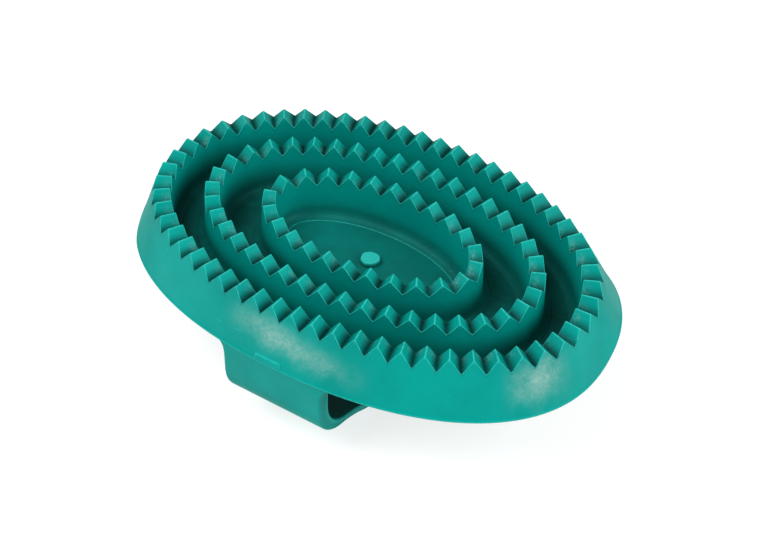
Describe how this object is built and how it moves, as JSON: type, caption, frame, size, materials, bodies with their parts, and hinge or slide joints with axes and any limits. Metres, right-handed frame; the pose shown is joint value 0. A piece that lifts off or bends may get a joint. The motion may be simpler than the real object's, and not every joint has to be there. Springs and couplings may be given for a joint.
{
  "type": "oval rubber curry comb",
  "caption": "Oval moulded rubber grooming comb with concentric saw-toothed walls on one side and a flexible hand strap across the back.",
  "frame": {"origin": "middle of the hand strap's flat underside, under the middle of the comb", "axes": "+X along the oval's long axis, +Y across it from strap foot to strap foot, +Z towards the tooth tips; the hand strap hangs at -Z"},
  "size_m": [0.165, 0.1104, 0.0533],
  "materials": {
    "moulded_rubber": "satin moulded, teal green, lightly dusty"
  },
  "bodies": {
    "comb": {"base_plate": "moulded_rubber", "outer_comb_wall": "moulded_rubber", "middle_comb_wall": "moulded_rubber", "inner_comb_wall": "moulded_rubber", "gate_stub": "moulded_rubber", "strap_near_foot": "moulded_rubber", "strap_far_foot": "moulded_rubber"},
    "strap_near": {"strap_near_wall": "moulded_rubber"},
    "strap_palm": {"strap_near_corner": "moulded_rubber", "strap_palm_band": "moulded_rubber"},
    "strap_far": {"strap_far_wall": "moulded_rubber"},
    "strap_far_turn": {"strap_far_corner": "moulded_rubber"}
  },
  "joints": [
    {"name": "strap_lean", "type": "hinge", "parent": "comb", "child": "strap_near", "pos_m": [0, -0.0524, 0.029], "axis": [1, 0, 0], "range_deg": [-20, 20], "stiffness_Nm_per_rad": 0.12},
    {"name": "near_corner_flex", "type": "hinge", "parent": "strap_near", "child": "strap_palm", "pos_m": [0, -0.0524, 0.023], "axis": [1, 0, 0], "range_deg": [-25, 25]},
    {"name": "far_root_flex", "type": "hinge", "parent": "comb", "child": "strap_far", "pos_m": [0, 0.0524, 0.029], "axis": [1, 0, 0], "range_deg": [-25, 25]},
    {"name": "far_corner_flex", "type": "hinge", "parent": "strap_far", "child": "strap_far_turn", "pos_m": [0, 0.0524, 0.023], "axis": [1, 0, 0], "range_deg": [-25, 25]}
  ],
  "couplings": [
    {"joint": "near_corner_flex", "follows": "strap_lean", "ratio": -1},
    {"joint": "far_root_flex", "follows": "strap_lean", "ratio": 1},
    {"joint": "far_corner_flex", "follows": "strap_lean", "ratio": -1}
  ]
}
